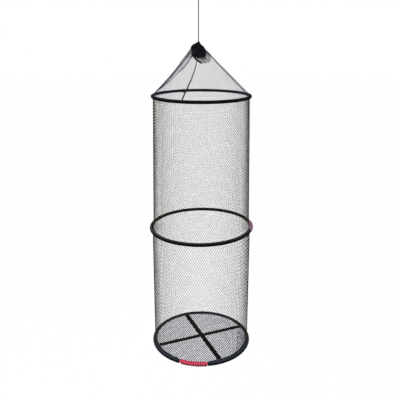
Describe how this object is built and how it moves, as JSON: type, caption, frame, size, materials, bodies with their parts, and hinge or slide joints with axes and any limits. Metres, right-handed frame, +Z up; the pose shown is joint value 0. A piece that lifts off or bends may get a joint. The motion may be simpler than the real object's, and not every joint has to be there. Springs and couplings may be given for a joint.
{
  "type": "keep net",
  "caption": "Hanging fishing keep net: bound wire hoops joined by sleeves of fine netting, a gathered conical mouth and a strapped flat base.",
  "frame": {"origin": "the highest point of the hanging loop's eye, where a hook bears", "axes": "+Z up along the hanging cord, +X to the right and +Y away from the viewer of the picture"},
  "size_m": [0.4022, 0.4022, 1.3988],
  "materials": {
    "black_cord": "braided black cord, matt",
    "netting_twine": "fine knotless dark olive twine",
    "mouth_hem_tape": "bound black hem",
    "hoop_wire": "drawn spring wire",
    "ferrule_steel": "plated steel sleeve",
    "ring_binding": "tight navy-black lashing",
    "whipping_rope": "glossy crimson laid rope",
    "strap_webbing": "flat black webbing",
    "stitch_thread": "black sewing thread"
  },
  "bodies": {
    "hanger": {"hanging_loop": "black_cord", "loop_knot": "black_cord"},
    "cord": {"hanging_cord": "black_cord"},
    "head": {"tip_knot": "black_cord", "draw_cord": "black_cord", "mouth_gather": "netting_twine", "mouth_hem": "mouth_hem_tape", "cone_netting": "netting_twine", "bridle_cord_front": "black_cord", "bridle_cord_right": "black_cord", "bridle_cord_left": "black_cord"},
    "top_ring": {"top_hoop": "hoop_wire", "top_ferrule": "ferrule_steel", "top_binding": "ring_binding", "upper_netting": "netting_twine"},
    "middle_ring": {"middle_hoop": "hoop_wire", "middle_ferrule": "ferrule_steel", "middle_binding": "ring_binding", "middle_whipping": "whipping_rope", "lower_netting": "netting_twine"},
    "bottom_ring": {"bottom_hoop": "hoop_wire", "bottom_ferrule": "ferrule_steel", "bottom_binding": "ring_binding", "bottom_whipping": "whipping_rope", "base_netting": "netting_twine", "base_strap_lower": "strap_webbing", "base_strap_upper": "strap_webbing", "strap_cross_stitch": "stitch_thread"}
  },
  "joints": [
    {"name": "cord_swing", "type": "hinge", "parent": "hanger", "child": "cord", "pos_m": [0, 0, -0.045], "axis": [1, 0, 0], "range_deg": [-25, 25]},
    {"name": "net_twist", "type": "hinge", "parent": "cord", "child": "head", "pos_m": [0, 0, -0.20075], "axis": [0, 0, 1], "range_deg": [-180, 180]},
    {"name": "top_ring_lift", "type": "slide", "parent": "head", "child": "top_ring", "axis": [0, 0, 1], "range_m": [0, 0.12], "deforming": ["cone_netting", "bridle_cord_front", "bridle_cord_right", "bridle_cord_left"]},
    {"name": "middle_ring_lift", "type": "slide", "parent": "top_ring", "child": "middle_ring", "axis": [0, 0, 1], "range_m": [0, 0.477], "deforming": ["upper_netting"]},
    {"name": "bottom_ring_lift", "type": "slide", "parent": "middle_ring", "child": "bottom_ring", "axis": [0, 0, 1], "range_m": [0, 0.477], "deforming": ["lower_netting"]}
  ]
}
